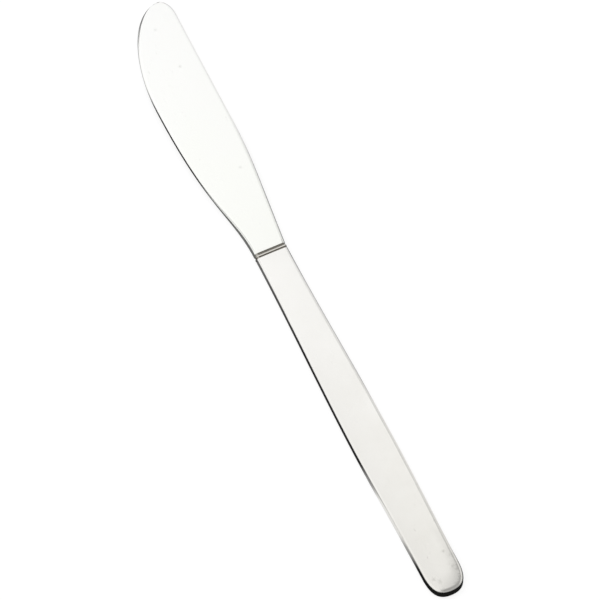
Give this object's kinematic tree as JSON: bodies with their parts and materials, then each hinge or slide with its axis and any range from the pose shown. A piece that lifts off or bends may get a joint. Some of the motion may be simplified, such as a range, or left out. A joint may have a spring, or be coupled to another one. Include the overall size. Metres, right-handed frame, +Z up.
{
  "type": "dessert knife",
  "caption": "Polished stainless dessert knife: broad blade with a straight spine and a bellied edge, grooved ferrule and slim flat hollow handle with a round end.",
  "frame": {"origin": "on the flat underside that the knife rests on, at the middle of the handle's length and on its centre line", "axes": "+Y along the handle to the blade's tip, +X towards the straight spine, +Z up from the surface that the knife lies on"},
  "size_m": [0.0185, 0.2046, 0.0042],
  "materials": {
    "blade_steel": "mirror polished, with faint polishing lines",
    "ferrule_steel": "polished",
    "handle_steel": "polished, with faint wear towards the end",
    "braze": "dull silver braze",
    "cement": "set cement"
  },
  "bodies": {
    "root": {"blade": "blade_steel", "ferrule": "ferrule_steel", "front_shell": "handle_steel", "back_shell": "handle_steel", "seam_braze": "braze", "cement_filling": "cement"}
  },
  "joints": []
}
